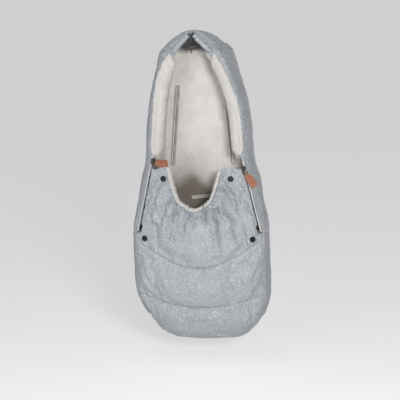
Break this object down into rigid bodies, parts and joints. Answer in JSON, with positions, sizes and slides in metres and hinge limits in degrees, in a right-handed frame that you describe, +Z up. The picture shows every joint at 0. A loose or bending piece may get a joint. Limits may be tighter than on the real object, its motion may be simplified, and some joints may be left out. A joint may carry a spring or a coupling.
{
  "type": "stroller footmuff",
  "caption": "Padded, fleece-lined pushchair footmuff with a gathered hood, zipped front whose corners fold back onto snaps, harness slots and a rear hanging strap.",
  "frame": {"origin": "centre of the rail that passes through the hanging strap behind the hood", "axes": "+X to the right seen from the front, -Y out of the front opening, +Z up towards the hood; the rail runs along X"},
  "size_m": [0.3568, 0.2089, 0.8],
  "materials": {
    "speckled_fabric": "woven blue-grey shell fabric with fine white specks, quilted",
    "fleece": "cream fleece lining",
    "slot_binding": "shell fabric folded round the slot",
    "light_binding": "pale tape folded round the slot",
    "zip_tape": "zip tape with moulded teeth",
    "dark_metal": "darkened zinc, satin",
    "snap_metal": "black lacquer",
    "tan_leather": "smooth tan leather",
    "strap_webbing": "woven strap",
    "patch": "plain tonal patch",
    "lock_plastic": "fine matt",
    "spring_steel": "bare wire",
    "cord": "braided"
  },
  "bodies": {
    "muff": {"back_panel_lower": "speckled_fabric", "back_panel_upper": "speckled_fabric", "side_wall_left": "speckled_fabric", "side_wall_right": "speckled_fabric", "foot_gusset": "speckled_fabric", "hood_crown": "speckled_fabric", "cover_lower": "speckled_fabric", "cover_middle": "speckled_fabric", "cover_upper": "speckled_fabric", "cord_casing_left": "speckled_fabric", "cord_casing_right": "speckled_fabric", "lining_back": "fleece", "lining_side_left": "fleece", "lining_side_right": "fleece", "lining_foot": "fleece", "lining_cover": "fleece", "hood_rim_left": "fleece", "hood_rim_right": "fleece", "harness_slot_binding_left": "slot_binding", "harness_slot_binding_right": "slot_binding", "crotch_slot_binding": "light_binding", "zip_tape_left": "zip_tape", "zip_tape_right": "zip_tape", "snap_stud_left": "snap_metal", "snap_stud_right": "snap_metal", "hanging_strap": "strap_webbing", "blank_patch": "patch", "cord_lock_barrel": "lock_plastic", "cord_lock_spring": "spring_steel", "drawcord": "cord"},
    "flap": {"cover_flap": "speckled_fabric", "lining_flap": "fleece", "neck_trim_foot": "fleece", "flap_zip_tape_left": "zip_tape", "flap_zip_tape_right": "zip_tape"},
    "tab_left": {"cover_tab_left": "speckled_fabric", "lining_tab_left": "fleece", "neck_trim_left": "fleece", "tab_zip_tape_left": "zip_tape", "snap_socket_left": "snap_metal"},
    "slider_left": {"slider_left": "dark_metal"},
    "bail_left": {"bail_left": "dark_metal"},
    "pull_left": {"leather_pull_left": "tan_leather"},
    "tab_right": {"cover_tab_right": "speckled_fabric", "lining_tab_right": "fleece", "neck_trim_right": "fleece", "tab_zip_tape_right": "zip_tape", "snap_socket_right": "snap_metal"},
    "slider_right": {"slider_right": "dark_metal"},
    "bail_right": {"bail_right": "dark_metal"},
    "pull_right": {"leather_pull_right": "tan_leather"},
    "plunger": {"cord_lock_plunger": "lock_plastic"}
  },
  "joints": [
    {"name": "flap_fold", "type": "hinge", "parent": "muff", "child": "flap", "pos_m": [0, -0.1765, -0.429], "axis": [1, 0, 0], "range_deg": [0, 50]},
    {"name": "tab_left_fold", "type": "hinge", "parent": "flap", "child": "tab_left", "pos_m": [0, -0.16962, -0.364], "axis": [1, 0, 0], "range_deg": [0, 155]},
    {"name": "tab_right_fold", "type": "hinge", "parent": "flap", "child": "tab_right", "pos_m": [0, -0.16962, -0.364], "axis": [1, 0, 0], "range_deg": [0, 155]},
    {"name": "slider_left_travel", "type": "slide", "parent": "muff", "child": "slider_left", "axis": [-0.2272, 0.0395, -0.9731], "range_m": [0, 0.1788]},
    {"name": "bail_left_swivel", "type": "hinge", "parent": "slider_left", "child": "bail_left", "pos_m": [-0.11467, -0.14486, -0.24773], "axis": [0.009, 0.9992, 0.0385], "range_deg": [0, 80]},
    {"name": "pull_left_lift", "type": "hinge", "parent": "bail_left", "child": "pull_left", "pos_m": [-0.10496, -0.14997, -0.24709], "axis": [0.0849, 0.0376, -0.9957], "range_deg": [0, 60]},
    {"name": "slider_right_travel", "type": "slide", "parent": "muff", "child": "slider_right", "axis": [0.2272, 0.0395, -0.9731], "range_m": [0, 0.1593]},
    {"name": "bail_right_swivel", "type": "hinge", "parent": "slider_right", "child": "bail_right", "pos_m": [0.11911, -0.14377, -0.26672], "axis": [0.009, -0.9992, -0.0385], "range_deg": [0, 35]},
    {"name": "pull_right_lift", "type": "hinge", "parent": "bail_right", "child": "pull_right", "pos_m": [0.12577, -0.14567, -0.27526], "axis": [-0.7866, 0.0167, -0.6173], "range_deg": [0, 60]},
    {"name": "lock_plunger_press", "type": "slide", "parent": "muff", "child": "plunger", "axis": [-1, 0, 0], "range_m": [0, 0.003], "stiffness_N_per_m": 600, "springref_m": -0.004, "deforming": ["cord_lock_spring"]}
  ]
}
